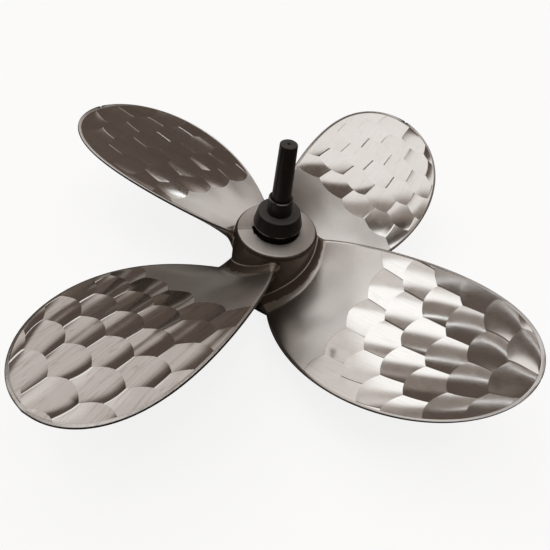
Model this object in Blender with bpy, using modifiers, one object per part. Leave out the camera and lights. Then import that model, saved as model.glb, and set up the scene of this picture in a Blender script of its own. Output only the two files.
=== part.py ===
# Ship propeller with four fixed blades, cast in one piece with its hub,
# standing on the forward end of the hub with a balancing mandrel in its bore.
# Metres, +Z up. The origin is in the middle of the hub's forward face, on the floor.
# The hub's small (aft) end is up, so the pressure faces of the blades are up.
# Right-handed: seen from above, the leading edge of a blade is its clockwise edge.

import math

import bmesh
import bpy
import numpy as np
from mathutils import Matrix

# Hub
HUB_LENGTH = 0.168
HUB_FORE_RADIUS = 0.091
HUB_AFT_RADIUS = 0.0855
HUB_AFT_CHAMFER = 0.0065
HUB_FORE_CHAMFER = 0.004
HUB_STEPS = 72
BORE_AFT_RADIUS = 0.0355
BORE_FORE_RADIUS = 0.0425
BORE_AFT_CHAMFER = 0.0125
BORE_FORE_CHAMFER = 0.0015
KEYWAY_WIDTH = 0.024
KEYWAY_DEPTH = 0.0145
KEYWAY_ANGLE = math.radians(150.7)

# Blades: tip circle, reference plane and the station that the root sizes are given at
BLADE_COUNT = 4
TIP_RADIUS = 0.550
BLADE_PLANE_HEIGHT = 0.088
ROOT_STATION_RADIUS = 0.110
ROOT_DEPTH_IN_HUB = 0.012

# Blade laws from the root station to the tip, each a curve between its handles
WIDTH_ROOT = 0.217
WIDTH_INNER = 0.367
WIDTH_OUTER = 0.420
WIDTH_TIP = 0.469
TIP_FULLNESS = 3.62
PITCH_ROOT = 0.497
PITCH_MIDDLE = 0.679
PITCH_TIP = 0.4535
SKEW_INNER = math.radians(-1.17)
SKEW_OUTER = math.radians(4.54)
SKEW_TIP = math.radians(9.10)
RAKE_MIDDLE = 0.0515
RAKE_TIP = 0.1115
THICKNESS_ROOT = 0.038
THICKNESS_TIP = 0.0065
EDGE_THICKNESS_ROOT = 0.007
EDGE_THICKNESS_TIP = 0.004
HOLLOW_ROOT = 0.32
HOLLOW_TIP = 0.50
SECTION_FULLNESS = 0.85
SECTION_FORWARD_SHIFT = 0.30
FILLET_LEADING = 0.030
FILLET_TRAILING = 0.009
FILLET_LEADING_RISE = 0.029
FILLET_TRAILING_RISE = 0.018
FILLET_LEADING_CURVE = 1.15
FILLET_TRAILING_CURVE = 2.0
FILLET_STEPS = 6
FILLET_TRIM = 0.001
RING_COUNT = 20
FACE_STEPS = 12

# Mandrel: one shaft through the hub, with what is threaded on it
FIT_GAP = 0.0003
SHAFT_RADIUS = 0.0190
SHAFT_TOP_RADIUS = 0.0164
SHAFT_TAPER_LENGTH = 0.121
SHAFT_TOP_CHAMFER = 0.0012
SHAFT_STANDS_PROUD = 0.203
SHAFT_FOOT_RECESS = 0.006
CENTRE_HOLE_RADIUS = 0.0032
CENTRE_HOLE_DEPTH = 0.006
TURNED_STEPS = 64
PLUG_WALL_CLEARANCE = 0.0006
PLUG_LENGTH = 0.030
RIM_RADIUS = 0.0494
RIM_HEIGHT = 0.0177
RIM_THICKNESS = 0.0030
CLAMP_COLLAR_HEIGHT = 0.0302
CLAMP_COLLAR_TOP_RADIUS = 0.0428
CLAMP_COLLAR_CHAMFER = 0.0008
LOCK_COLLAR_HEIGHT = 0.0344
LOCK_COLLAR_RADIUS = 0.0246
LOCK_COLLAR_CHAMFER = 0.0018
LOCK_RECESS_RADIUS = 0.0212
LOCK_RECESS_DEPTH = 0.0022
LOWER_PLUG_LENGTH = 0.030
LOWER_PLUG_INSET = 0.040
WASHER_RADIUS = 0.034
WASHER_THICKNESS = 0.006
NUT_ACROSS_FLATS = 0.055
NUT_HEIGHT = 0.019
CUTTER_OVERRUN = 0.010


# Look of each material: colour, metallic, roughness
MATERIALS = {
    "polished_cast_metal": ((0.60, 0.57, 0.54), 1.0, 0.24),
    "blackened_steel": ((0.022, 0.021, 0.021), 0.85, 0.34),
    "blackened_steel_plug": ((0.016, 0.016, 0.017), 0.80, 0.42),
    "plain_steel": ((0.34, 0.34, 0.35), 1.0, 0.38),
}


def clear_scene():
    for item in list(bpy.data.objects):
        bpy.data.objects.remove(item, do_unlink=True)
    for group in list(bpy.data.collections):
        bpy.data.collections.remove(group)


def add_collection(name):
    group = bpy.data.collections.new(name)
    bpy.context.scene.collection.children.link(group)
    return group


def make_material(name):
    colour, metallic, roughness = MATERIALS[name]
    material = bpy.data.materials.new(name)
    material.use_nodes = True
    shader = material.node_tree.nodes["Principled BSDF"]
    shader.inputs["Base Color"].default_value = (*colour, 1.0)
    shader.inputs["Metallic"].default_value = metallic
    shader.inputs["Roughness"].default_value = roughness
    material.diffuse_color = (*colour, 1.0)
    return material


def add_object(name, mesh, group, material=None):
    item = bpy.data.objects.new(name, mesh)
    group.objects.link(item)
    if material is not None:
        mesh.materials.append(material)
    return item


def make_cutter(item):
    item.hide_render = True
    item.display_type = "WIRE"


def shade_round(mesh, angle=32.0):
    mesh.shade_smooth()
    mesh.set_sharp_from_angle(angle=math.radians(angle))


# A closed profile of (radius, height) points, running down its outer side,
# turned about the Z axis.
def add_turned(name, profile, group, material, steps=TURNED_STEPS):
    mesh = bpy.data.meshes.new(name)
    points = [(radius, 0.0, height) for radius, height in profile]
    on_axis = profile[0][0] == 0.0 and profile[-1][0] == 0.0
    edges = [(i, i + 1) for i in range(len(points) - 1)]
    if not on_axis:
        edges.append((len(points) - 1, 0))
    mesh.from_pydata(points, edges, [])
    item = add_object(name, mesh, group, material)
    screw = item.modifiers.new("turn", "SCREW")
    screw.axis = "Z"
    screw.angle = 2.0 * math.pi
    screw.steps = steps
    screw.render_steps = steps
    screw.use_merge_vertices = True
    screw.merge_threshold = 0.00005
    screw.use_smooth_shade = True
    return item


def add_boolean(item, other, operation):
    cut = item.modifiers.new(other.name, "BOOLEAN")
    cut.operation = operation
    cut.solver = "EXACT"
    cut.object = other


# Bezier curve of any degree through its first and last handles
def curve_between(handles, u):
    degree = len(handles) - 1
    total = 0.0
    for k, handle in enumerate(handles):
        total += math.comb(degree, k) * (1.0 - u) ** (degree - k) * u ** k * handle
    return total


def span_share(radius):
    return (radius - ROOT_STATION_RADIUS) / (TIP_RADIUS - ROOT_STATION_RADIUS)


def hub_radius_at(height):
    share = height / HUB_LENGTH
    return HUB_FORE_RADIUS + (HUB_AFT_RADIUS - HUB_FORE_RADIUS) * share


def bore_radius_at(height):
    share = height / HUB_LENGTH
    return BORE_FORE_RADIUS + (BORE_AFT_RADIUS - BORE_FORE_RADIUS) * share


# How far the root fillet stands out from the blade at a radius, at a share of the
# chord from the leading edge (0) to the trailing edge (1). It is largest on the hub.
def fillet_reach(share, radius):
    size = FILLET_LEADING + (FILLET_TRAILING - FILLET_LEADING) * share
    extent = FILLET_LEADING_RISE + (FILLET_TRAILING_RISE - FILLET_LEADING_RISE) * share
    power = FILLET_LEADING_CURVE + (FILLET_TRAILING_CURVE - FILLET_LEADING_CURVE) * share
    rise = (radius - hub_radius_at(BLADE_PLANE_HEIGHT)) / extent
    return size * (1.0 - min(1.0, max(0.0, rise))) ** power


# Section of the blade at one radius, in its own plane: along the chord from the
# leading edge, and square to it towards the pressure face
def blade_section(radius):
    u = span_share(radius)
    rounding = max(0.0, 1.0 - (radius / TIP_RADIUS) ** TIP_FULLNESS) ** 0.5
    width = rounding * curve_between((WIDTH_ROOT, WIDTH_INNER, WIDTH_OUTER, WIDTH_TIP), u)
    thickness = THICKNESS_ROOT + (THICKNESS_TIP - THICKNESS_ROOT) * u
    edge = EDGE_THICKNESS_ROOT + (EDGE_THICKNESS_TIP - EDGE_THICKNESS_ROOT) * u
    hollow = thickness * (HOLLOW_ROOT + (HOLLOW_TIP - HOLLOW_ROOT) * u)
    thickness = min(thickness, edge + 0.35 * width)
    face = []
    back = []
    for step in range(FACE_STEPS + 1):
        v = -math.cos(math.pi * step / FACE_STEPS)
        fullness = max(0.0, 1.0 - v * v) ** SECTION_FULLNESS
        fullness *= 1.0 - SECTION_FORWARD_SHIFT * v
        half = 0.5 * (edge + (thickness - edge) * fullness)
        middle = -hollow * (1.0 - v * v)
        along = 0.5 * v * (width - edge)
        face.append((along, middle + half))
        back.append((along, middle - half))
    lead = (-0.5 * width, 0.0)
    trail = (0.5 * width, 0.0)
    return [lead] + face + [trail] + back[::-1]


# The section moved outwards by the root fillet, which is larger at the leading edge
def flared_section(radius):
    points = np.array(blade_section(radius))
    ahead = np.roll(points, -1, axis=0)
    behind = np.roll(points, 1, axis=0)
    run = ahead - behind
    run /= np.linalg.norm(run, axis=1)[:, None]
    outward = np.stack([-run[:, 1], run[:, 0]], axis=1)
    share = (points[:, 0] - points[:, 0].min()) / np.ptp(points[:, 0])
    reach = np.array([fillet_reach(part, radius) for part in share])
    return points + outward * reach[:, None]


# The section laid on its cylinder, at its pitch, skew and rake. The forward face of
# the hub is machined, and trims the fillet of the leading edge.
def blade_ring(radius):
    u = span_share(radius)
    pitch = curve_between((PITCH_ROOT, PITCH_MIDDLE, PITCH_TIP), u)
    skew = curve_between((0.0, SKEW_INNER, SKEW_OUTER, SKEW_TIP), u)
    rake = curve_between((0.0, RAKE_MIDDLE, RAKE_TIP), u)
    slope = math.atan2(pitch, 2.0 * math.pi * radius)
    lowest = HUB_FORE_CHAMFER + FILLET_TRIM
    ring = []
    for along, across in flared_section(radius):
        round_about = along * math.cos(slope) - across * math.sin(slope)
        height = along * math.sin(slope) + across * math.cos(slope)
        angle = skew + round_about / radius
        ring.append((
            radius * math.cos(angle),
            radius * math.sin(angle),
            max(lowest, BLADE_PLANE_HEIGHT + rake + height),
        ))
    return ring


def blade_radii():
    hub_radius = hub_radius_at(BLADE_PLANE_HEIGHT)
    radii = [hub_radius - ROOT_DEPTH_IN_HUB, hub_radius]
    for step in range(1, FILLET_STEPS + 1):
        radii.append(hub_radius + FILLET_LEADING_RISE * (step / FILLET_STEPS) ** 1.25)
    start = radii[-1]
    for step in range(1, RING_COUNT + 1):
        left = 1.0 - step / RING_COUNT
        radii.append(TIP_RADIUS * 0.9994 - (TIP_RADIUS * 0.9994 - start) * left ** 1.7)
    return radii


# One blade as a loft through its sections, closed at both ends
def add_blade(name, group, turn):
    form = bmesh.new()
    rings = []
    for radius in blade_radii():
        rings.append([form.verts.new(point) for point in blade_ring(radius)])
    count = len(rings[0])
    for inner, outer in zip(rings, rings[1:]):
        for i in range(count):
            j = (i + 1) % count
            form.faces.new((inner[i], outer[i], outer[j], inner[j]))
    form.faces.new(rings[0])
    form.faces.new(rings[-1][::-1])
    bmesh.ops.recalc_face_normals(form, faces=form.faces)
    bmesh.ops.triangulate(form, faces=form.faces)
    bmesh.ops.transform(form, matrix=Matrix.Rotation(turn, 4, "Z"), verts=form.verts)
    mesh = bpy.data.meshes.new(name)
    form.to_mesh(mesh)
    form.free()
    shade_round(mesh)
    item = add_object(name, mesh, group)
    make_cutter(item)
    return item


def hub_profile():
    top = HUB_LENGTH
    return [
        (hub_radius_at(top) - HUB_AFT_CHAMFER, top),
        (hub_radius_at(top) - 0.4 * HUB_AFT_CHAMFER, top - 0.4 * HUB_AFT_CHAMFER),
        (hub_radius_at(top), top - 1.4 * HUB_AFT_CHAMFER),
        (hub_radius_at(BLADE_PLANE_HEIGHT), BLADE_PLANE_HEIGHT),
        (hub_radius_at(HUB_FORE_CHAMFER), HUB_FORE_CHAMFER),
        (hub_radius_at(0.0) - HUB_FORE_CHAMFER, 0.0),
        (bore_radius_at(0.0) + BORE_FORE_CHAMFER, 0.0),
        (bore_radius_at(BORE_FORE_CHAMFER), BORE_FORE_CHAMFER),
        (bore_radius_at(top - BORE_AFT_CHAMFER), top - BORE_AFT_CHAMFER),
        (bore_radius_at(top) + BORE_AFT_CHAMFER, top),
    ]


# The keyway's floor runs along the tapered bore, KEYWAY_DEPTH outside it
def add_keyway_cutter(group):
    lean = math.atan2(BORE_FORE_RADIUS - BORE_AFT_RADIUS, HUB_LENGTH)
    reach = 0.5 * (BORE_FORE_RADIUS + BORE_AFT_RADIUS) + KEYWAY_DEPTH
    bpy.ops.mesh.primitive_cube_add(size=1.0)
    item = bpy.context.object
    item.name = "keyway_cutter"
    for owner in list(item.users_collection):
        owner.objects.unlink(item)
    group.objects.link(item)
    box = item.data
    box.transform(Matrix.Diagonal((reach, KEYWAY_WIDTH, 1.4 * HUB_LENGTH, 1.0)))
    box.transform(Matrix.Translation((0.5 * reach, 0.0, 0.0)))
    box.transform(Matrix.Rotation(-lean, 4, "Y"))
    item.location = (0.0, 0.0, 0.5 * HUB_LENGTH)
    item.rotation_euler = (0.0, 0.0, KEYWAY_ANGLE)
    make_cutter(item)
    return item


def build_casting(group, cutters, material):
    casting = add_turned("propeller_casting", hub_profile(), group, material, HUB_STEPS)
    for index in range(BLADE_COUNT):
        turn = 2.0 * math.pi * index / BLADE_COUNT
        blade = add_blade("blade_%d" % (index + 1), cutters, turn)
        add_boolean(casting, blade, "UNION")
    add_boolean(casting, add_keyway_cutter(cutters), "DIFFERENCE")
    return casting


def shaft_radius_at(height):
    top = HUB_LENGTH + SHAFT_STANDS_PROUD
    share = min(1.0, max(0.0, (top - height) / SHAFT_TAPER_LENGTH))
    return SHAFT_TOP_RADIUS + (SHAFT_RADIUS - SHAFT_TOP_RADIUS) * share


def build_shaft(group, material):
    top = HUB_LENGTH + SHAFT_STANDS_PROUD
    foot = SHAFT_FOOT_RECESS
    profile = [
        (0.0, top - CENTRE_HOLE_DEPTH),
        (CENTRE_HOLE_RADIUS, top),
        (shaft_radius_at(top) - SHAFT_TOP_CHAMFER, top),
        (shaft_radius_at(top), top - SHAFT_TOP_CHAMFER),
        (SHAFT_RADIUS, top - SHAFT_TAPER_LENGTH),
        (SHAFT_RADIUS, foot + SHAFT_TOP_CHAMFER),
        (SHAFT_RADIUS - SHAFT_TOP_CHAMFER, foot),
        (0.0, foot),
    ]
    return add_turned("mandrel_shaft", profile, group, material)


# Plug that fills the small end of the bore, below its countersink, and carries the
# clamping collar
def build_upper_plug(group, material):
    top = HUB_LENGTH + RIM_HEIGHT - FIT_GAP
    seat = HUB_LENGTH - BORE_AFT_CHAMFER
    bottom = HUB_LENGTH - PLUG_LENGTH
    inner = SHAFT_RADIUS + FIT_GAP
    profile = [
        (bore_radius_at(seat) - PLUG_WALL_CLEARANCE, top),
        (bore_radius_at(seat) - PLUG_WALL_CLEARANCE, seat),
        (bore_radius_at(bottom) - PLUG_WALL_CLEARANCE, bottom),
        (inner, bottom),
        (inner, top),
    ]
    return add_turned("upper_centring_plug", profile, group, material)


def build_clamp_collar(group, material):
    bottom = HUB_LENGTH + RIM_HEIGHT
    top = bottom + CLAMP_COLLAR_HEIGHT
    inner = SHAFT_RADIUS + FIT_GAP
    profile = [
        (CLAMP_COLLAR_TOP_RADIUS - CLAMP_COLLAR_CHAMFER, top),
        (CLAMP_COLLAR_TOP_RADIUS, top - CLAMP_COLLAR_CHAMFER),
        (RIM_RADIUS, bottom + RIM_THICKNESS),
        (RIM_RADIUS, bottom),
        (inner, bottom),
        (inner, top),
    ]
    return add_turned("clamping_collar", profile, group, material)


def build_lock_collar(group, material):
    bottom = HUB_LENGTH + RIM_HEIGHT + CLAMP_COLLAR_HEIGHT + FIT_GAP
    top = bottom + LOCK_COLLAR_HEIGHT
    inner = SHAFT_RADIUS + FIT_GAP
    profile = [
        (LOCK_COLLAR_RADIUS - LOCK_COLLAR_CHAMFER, top),
        (LOCK_COLLAR_RADIUS, top - LOCK_COLLAR_CHAMFER),
        (LOCK_COLLAR_RADIUS, bottom),
        (inner, bottom),
        (inner, top - LOCK_RECESS_DEPTH),
        (LOCK_RECESS_RADIUS, top - LOCK_RECESS_DEPTH),
        (LOCK_RECESS_RADIUS, top),
    ]
    return add_turned("lock_collar", profile, group, material)


# The mandrel's lower end stays inside the bore, clear of the floor
def build_lower_plug(group, material):
    bottom = LOWER_PLUG_INSET
    top = bottom + LOWER_PLUG_LENGTH
    inner = SHAFT_RADIUS + FIT_GAP
    profile = [
        (bore_radius_at(top) - PLUG_WALL_CLEARANCE, top),
        (bore_radius_at(bottom) - PLUG_WALL_CLEARANCE, bottom),
        (inner, bottom),
        (inner, top),
    ]
    return add_turned("lower_centring_plug", profile, group, material)


def build_washer(group, material):
    top = LOWER_PLUG_INSET - FIT_GAP
    bottom = top - WASHER_THICKNESS
    inner = SHAFT_RADIUS + FIT_GAP
    profile = [
        (WASHER_RADIUS, top),
        (WASHER_RADIUS, bottom),
        (inner, bottom),
        (inner, top),
    ]
    return add_turned("clamp_washer", profile, group, material)


def build_nut(group, cutters, material):
    top = LOWER_PLUG_INSET - WASHER_THICKNESS - 2.0 * FIT_GAP
    bpy.ops.mesh.primitive_cylinder_add(
        vertices=6,
        radius=0.5 * NUT_ACROSS_FLATS / math.cos(math.pi / 6.0),
        depth=NUT_HEIGHT,
    )
    nut = bpy.context.object
    nut.name = "clamp_nut"
    nut.data.name = "clamp_nut"
    nut.data.materials.append(material)
    for owner in list(nut.users_collection):
        owner.objects.unlink(nut)
    group.objects.link(nut)
    nut.location = (0.0, 0.0, top - 0.5 * NUT_HEIGHT)
    hole = add_turned(
        "nut_hole_cutter",
        [
            (0.0, top + CUTTER_OVERRUN),
            (SHAFT_RADIUS + FIT_GAP, top + CUTTER_OVERRUN),
            (SHAFT_RADIUS + FIT_GAP, top - NUT_HEIGHT - CUTTER_OVERRUN),
            (0.0, top - NUT_HEIGHT - CUTTER_OVERRUN),
        ],
        cutters,
        None,
    )
    make_cutter(hole)
    add_boolean(nut, hole, "DIFFERENCE")
    return nut


def build():
    clear_scene()
    group = add_collection("ship_propeller")
    cutters = add_collection("cutters")
    metal = make_material("polished_cast_metal")
    black = make_material("blackened_steel")
    plug_black = make_material("blackened_steel_plug")
    plain = make_material("plain_steel")
    build_casting(group, cutters, metal)
    build_shaft(group, black)
    build_lock_collar(group, black)
    build_clamp_collar(group, black)
    build_upper_plug(group, plug_black)
    build_lower_plug(group, plug_black)
    build_washer(group, plain)
    build_nut(group, cutters, plain)


build()
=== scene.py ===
# Looks of the four-bladed ship propeller on its balancing mandrel.
# Metres, +Z up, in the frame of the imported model. Seen from above, the leading edge
# of a blade is its clockwise edge, and the pressure faces are up.

import math

import bmesh
import bpy
from mathutils import Matrix, Vector


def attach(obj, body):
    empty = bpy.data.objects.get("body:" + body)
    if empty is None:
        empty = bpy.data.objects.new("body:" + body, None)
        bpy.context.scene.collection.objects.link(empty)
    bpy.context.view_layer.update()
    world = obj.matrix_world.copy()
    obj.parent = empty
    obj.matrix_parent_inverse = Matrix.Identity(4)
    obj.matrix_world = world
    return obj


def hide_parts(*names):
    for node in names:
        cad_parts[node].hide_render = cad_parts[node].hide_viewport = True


VECTOR = "FLOAT_VECTOR"

# Hub
HUB_LENGTH = 0.168
HUB_FORE_RADIUS = 0.091
HUB_AFT_RADIUS = 0.0855
HUB_AFT_CHAMFER = 0.0065
HUB_AFT_BEVEL = 0.0026
HUB_FORE_CHAMFER = 0.004
BORE_AFT_RADIUS = 0.0355
BORE_FORE_RADIUS = 0.0425
BORE_AFT_CHAMFER = 0.0125
BORE_FORE_CHAMFER = 0.0015
KEYWAY_WIDTH = 0.024
KEYWAY_DEPTH = 0.0145
KEYWAY_ANGLE = math.radians(150.7)
SCRIBED_LINE_ANGLE = math.radians(148.5)

# Blade laws from the root station to the tip, as in the part's source; the tip is half a
# millimetre shorter, which keeps its true curve inside the box of the part's flat faces
BLADE_COUNT = 4
TIP_RADIUS = 0.5495
TIP_CLOSING = 0.99985
BLADE_PLANE_HEIGHT = 0.088
ROOT_STATION_RADIUS = 0.110
ROOT_DEPTH_IN_HUB = 0.012
WIDTHS = (0.217, 0.367, 0.420, 0.469)
TIP_FULLNESS = 3.62
PITCHES = (0.497, 0.679, 0.4535)
SKEWS = (0.0, math.radians(-1.17), math.radians(4.54), math.radians(9.10))
RAKES = (0.0, 0.0515, 0.1115)
THICKNESSES = (0.038, 0.0065)
EDGES = (0.007, 0.004)
HOLLOWS = (0.32, 0.50)
SECTION_FULLNESS = 0.85
SECTION_FORWARD_SHIFT = 0.30
THICKNESS_PER_WIDTH = 0.35
EDGE_PER_WIDTH = 0.9
FILLET_SIZES = (0.030, 0.009)
FILLET_RISES = (0.029, 0.018)
FILLET_CURVES = (1.15, 2.0)
FILLET_TRIM = 0.005

# Mesh of a blade: steps across each face, round each edge and from root to tip
FACE_STEPS = 240
BACK_STEPS = 80
EDGE_STEPS = 4
EDGE_CROWDING = 0.3
SPAN_STEPS = 240
SPAN_CROWDING = 1.6
ROOT_STEPS = 24
ROOT_ZONE = 0.030

# Ground scales: columns that follow the tip, in metres on the blade
FIRST_COLUMN = 0.232
COLUMN_PITCH = 0.053
SCALE_LENGTH = 0.074
SCOOP_DEPTH = 0.0008
# The columns lean and bend towards the hub ahead of the blade's middle
COLUMN_LEAN = 0.3
COLUMN_LEAN_REACH = 0.268
COLUMN_BEND = 0.4
# The outer part of a scale droops back, more in the outer columns, and the other way
# round ahead of the start
DROOPS = (0.006, 0.018)
DROOP_COLUMNS = (3.6, 5.4)
DROOP_START = 0.040
DROOP_REACH = 0.060
DROOP_POWER = 1.6
# A scoop in units of its depth: parabola along it, lift of its borders, parabola across
HOLLOW = 4.0
HOLLOW_RISE = 0.667
CROSS_HOLLOW = 0.4
SCOOPS_FROM_RIM = (0.004, 0.012)
# Depth of the scoops as the mirror images show it, and slope and widths of the narrow flats
MIRRORED_DEPTH = 0.0019
FLAT_SLOPE = 0.15
FLAT_WIDTHS = (0.014, 0.034)
# Where a scale starts in each column, as a share of its length, blade by blade
INNER_STARTS = ((0.24, 0.80, 0.40), (0.86, 0.54, 0.20), (0.50, 0.84, 0.38), (0.54, 0.22, 0.76))
OUTER_STARTS = ((0.95, 0.45, 0.90), (0.50, 0.05, 0.55), (0.90, 0.38, 0.84), (0.48, 0.98, 0.30))
# How strongly the grinding grain shows on each blade, how steep its scoops are (below
# nought its steps face the other way) and how far its scales bulge towards the root
FINISHES = ((0.15, -0.65, 0.22), (0.15, 1.0, 0.26), (1.0, 1.7, 0.34), (0.15, 1.0, 0.25))
# Lowest and highest slope of the scoops in the column by the root; elsewhere they run
# from minus the hollow to the hollow
FIRST_SLOPES = ((-2.2, 4.0, 0.0), (-2.2, -0.8, 0.0), (-2.2, 4.0, 0.0), (-2.2, 4.0, 0.0))

# Finish of the blades, by distance from the rim and from the hub: where the ground part
# begins, the dark line inside the rim, the rounding of the rim and the painted shade on its
# edge, the painted highlight where a blade meets the hub and the darker band beside it
RIM_BAND = (0.0045, 0.0075)
RIM_LINE = (0.006, 0.0006, 0.0018)
RIM_ROUNDING = (0.0013, 0.0065)
EDGE_SHADE_WIDTHS = (0.0006, 0.0018)
SEAM_HIGHLIGHT = (0.0008, 0.0004, 0.0011)
DARK_BAND_WIDTH = 0.0125
DARK_BAND_FADE = 0.0022
FIRST_COLUMN_SHOWN = 0.82
# Streaks and wood-like grain of the grinding: how fine they are outwards, along the blade
# and from one column to the next
STREAKS = (9.0, 260.0, 3.1)
GRAIN = (7.0, 95.0, 5.3)
GRAIN_WIDTH = 0.035
# Depths of the streaks on a smooth and on a grained blade, and of the polished root's waves
STREAK_DEPTHS = (0.000004, 0.000016)
WAVE_DEPTH = 0.0034
CLOUD_DEPTH = 0.00022
SCRATCH_DEPTH = 0.000003
# Roughness of the blades
ROOT_ROUGHNESS = 0.31
GROUND_ROUGHNESS = 0.10
RIM_ROUGHNESS = 0.30
DARK_BAND_ROUGHNESS = 0.40
SEAM_ROUGHNESS = 0.60
GROUND_METAL = ((0.64, 0.615, 0.59), (0.86, 0.845, 0.83))
EDGE_PAINTED_SHADE = (0.10, 0.09, 0.085)
DARK_BAND_BY_HUB = (0.25, 0.21, 0.175)

# Finish of the hub: its side, in painted shade on one half and painted light on the other,
# painted shade below its corner, its aft face and scribed line; lathe rings counted per metre
HUB_SIDE_SHADED_AND_LIT = ((0.19, 0.155, 0.13), (0.30, 0.255, 0.215))
HUB_CORNER_SHADE = (0.15, 0.125, 0.105)
HUB_FACE = (0.88, 0.85, 0.82)
HUB_CORNER_HEIGHTS = (HUB_LENGTH - 0.0100, HUB_LENGTH - 0.0080)
HUB_FACE_HEIGHTS = (HUB_LENGTH - 0.0010, HUB_LENGTH - 0.0004)
HUB_RINGS = 900.0
HUB_RING_DEPTH = 0.000012
HUB_CLOUD_DEPTH = 0.00012
HUB_SCRATCH_DEPTH = 0.000008
HUB_PAINTED_LIGHT_EDGE = (-0.075, -0.02)
SCRIBED_LINE = (0.0, 0.0004, 0.0012)
SCRIBED_LINE_STARTS = (0.0, 0.03)

# Finish of the steel: darkest and lightest colour, metallic and roughness; painted light on
# the black's faces that look up, and its rubbed edges, lighter with a painted highlight
TURNED_BLACK = ((0.014, 0.013, 0.012), (0.036, 0.034, 0.032), 0.0, 0.34)
DULL_BLACK = ((0.030, 0.028, 0.027), (0.050, 0.047, 0.045), 0.0, 0.42)
TURNED_PLAIN = ((0.40, 0.40, 0.40), (0.56, 0.56, 0.57), 1.0, 0.4)
BLACK_TOP_PAINTED_LIGHT = (0.120, 0.116, 0.110)
RUBBED_AND_HIGHLIT_METAL = (0.62, 0.59, 0.56)
STEEL_RINGS = 1400.0
STEEL_MARK_DEPTH = 0.000010
STEEL_SHINE = 0.35
UP_FACING_PAINTED_LIGHT = (0.90, 0.98)

# Mandrel
SHAFT_RADIUS = 0.0190
SHAFT_TOP_RADIUS = 0.0164
SHAFT_TAPER_LENGTH = 0.121
SHAFT_STANDS_PROUD = 0.203
SHAFT_FOOT = 0.006
SHAFT_CHAMFER = 0.0012
CENTRE_HOLE_RADIUS = 0.0032
CENTRE_HOLE_DEPTH = 0.006
FIT_GAP = 0.0003
PLUG_WALL_CLEARANCE = 0.0006
PLUG_LENGTH = 0.030
RIM_RADIUS = 0.0494
RIM_HEIGHT = 0.0177
RIM_THICKNESS = 0.0030
CLAMP_COLLAR_HEIGHT = 0.0302
CLAMP_COLLAR_TOP_RADIUS = 0.0428
CLAMP_COLLAR_CHAMFER = 0.0008
LOCK_COLLAR_HEIGHT = 0.0344
LOCK_COLLAR_RADIUS = 0.0246
LOCK_COLLAR_CHAMFER = 0.0018
LOCK_RECESS_RADIUS = 0.0212
LOCK_RECESS_DEPTH = 0.0022
LOWER_PLUG_LENGTH = 0.030
LOWER_PLUG_INSET = 0.040
WASHER_RADIUS = 0.034
WASHER_THICKNESS = 0.006
NUT_ACROSS_FLATS = 0.055
NUT_HEIGHT = 0.019
NUT_HOLE_CHAMFER = 0.001
NUT_FACE_INSET = 0.0006
NUT_BLANK_MARGIN = 0.001
INNER_RADIUS = SHAFT_RADIUS + FIT_GAP
SHAFT_TOP = HUB_LENGTH + SHAFT_STANDS_PROUD
COLLAR_FOOT = HUB_LENGTH + RIM_HEIGHT
COLLAR_TOP = COLLAR_FOOT + CLAMP_COLLAR_HEIGHT
LOCK_FOOT = COLLAR_TOP + FIT_GAP
LOCK_TOP = LOCK_FOOT + LOCK_COLLAR_HEIGHT
# Radius, height and width of each edge of the mandrel that is rubbed and given a painted
# highlight
RUBBED_AND_HIGHLIT_EDGES = (
    (RIM_RADIUS, COLLAR_FOOT + 0.0006, 0.0011),
    (LOCK_COLLAR_RADIUS - 0.0009, LOCK_TOP - 0.0009, 0.0011),
    (SHAFT_TOP_RADIUS, SHAFT_TOP, 0.0010),
)

# Meshes of the turned pieces
TURNED_STEPS = 160
CORNER_STEPS = 4
EDGE_ROUNDING = 0.0006
HUB_ROUNDING = 0.0012
SHARP_ANGLE = math.radians(28.0)
TINY = 1e-6

# Camera, as it stood for the photograph
CAMERA_PLACE = (-0.54806, -0.50136, 0.84685)
CAMERA_TURN = (43.9825, -7.6819, -43.4763)
CAMERA_LENS = 31.940166
CAMERA_SHIFT = (-0.0372737, -0.0307985)
CAMERA_SENSOR = 36.0
CAMERA_CLIP = (0.05, 60.0)

# Surroundings: middle azimuth, half width, lowest and highest elevation and softness of
# each panel in degrees, and how bright it is; a later panel covers an earlier one
PANELS = (
    (98, 34, 36, 84, 4, 0.74),
    (130, 32, 34, 72, 4, 0.76),
    (66, 12, 36, 50, 3, 0.78),
    (70, 12, 19, 40, 4, 0.62),
    (52, 9, 29, 40, 4, 0.60),
    (82, 14, 51, 75, 3, 1.30),
    (58, 8, 53, 78, 2, 0.27),
    (-28, 18, 40, 69, 3, 0.12),
    (-62, 18, 57, 86, 5, 1.12),
    (-36, 20, 75, 86, 2.5, 1.35),
    (9, 21, 47, 72, 2.5, 0.98),
    (-20, 13, 42, 57, 2, 0.12),
    (-8, 26, 70, 77, 2, 0.30),
    (-4, 20, 75, 88, 2, 0.05),
    (22, 15, -30, 18, 2.5, 0.72),
    (36, 8, -30, 8, 2, 0.72),
    (17, 11, 12, 33, 2, 0.78),
    (40, 11, 45, 84, 2.5, 0.11),
    (43, 10, 11, 50, 2.5, 0.11),
    (33, 11, 26, 45, 2, 0.10),
    (34, 5, 21, 30, 1.5, 0.10),
    (26, 7.5, 25.5, 35, 1, 0.10),
    (19, 12, 32, 45, 1.5, 0.10),
    (57, 7, 15, 26, 1.5, 0.13),
    (64, 16, -6, 17, 2, 0.10),
    (110, 34, -20, 25, 2, 0.04),
    (98, 7, 36, 44, 2, 1.00),
    (84.5, 6.5, 24, 40, 1.5, 0.06),
    (-9, 14, -20, 40, 3, 0.06),
    (-36, 22, -30, 45, 4, 0.06),
    (222, 76, -20, 52, 6, 0.06),
    (50.2, 0.9, 54, 78, 0.7, 1.80),
    (36, 4, 9, 12, 1, 2.00),
)
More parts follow.
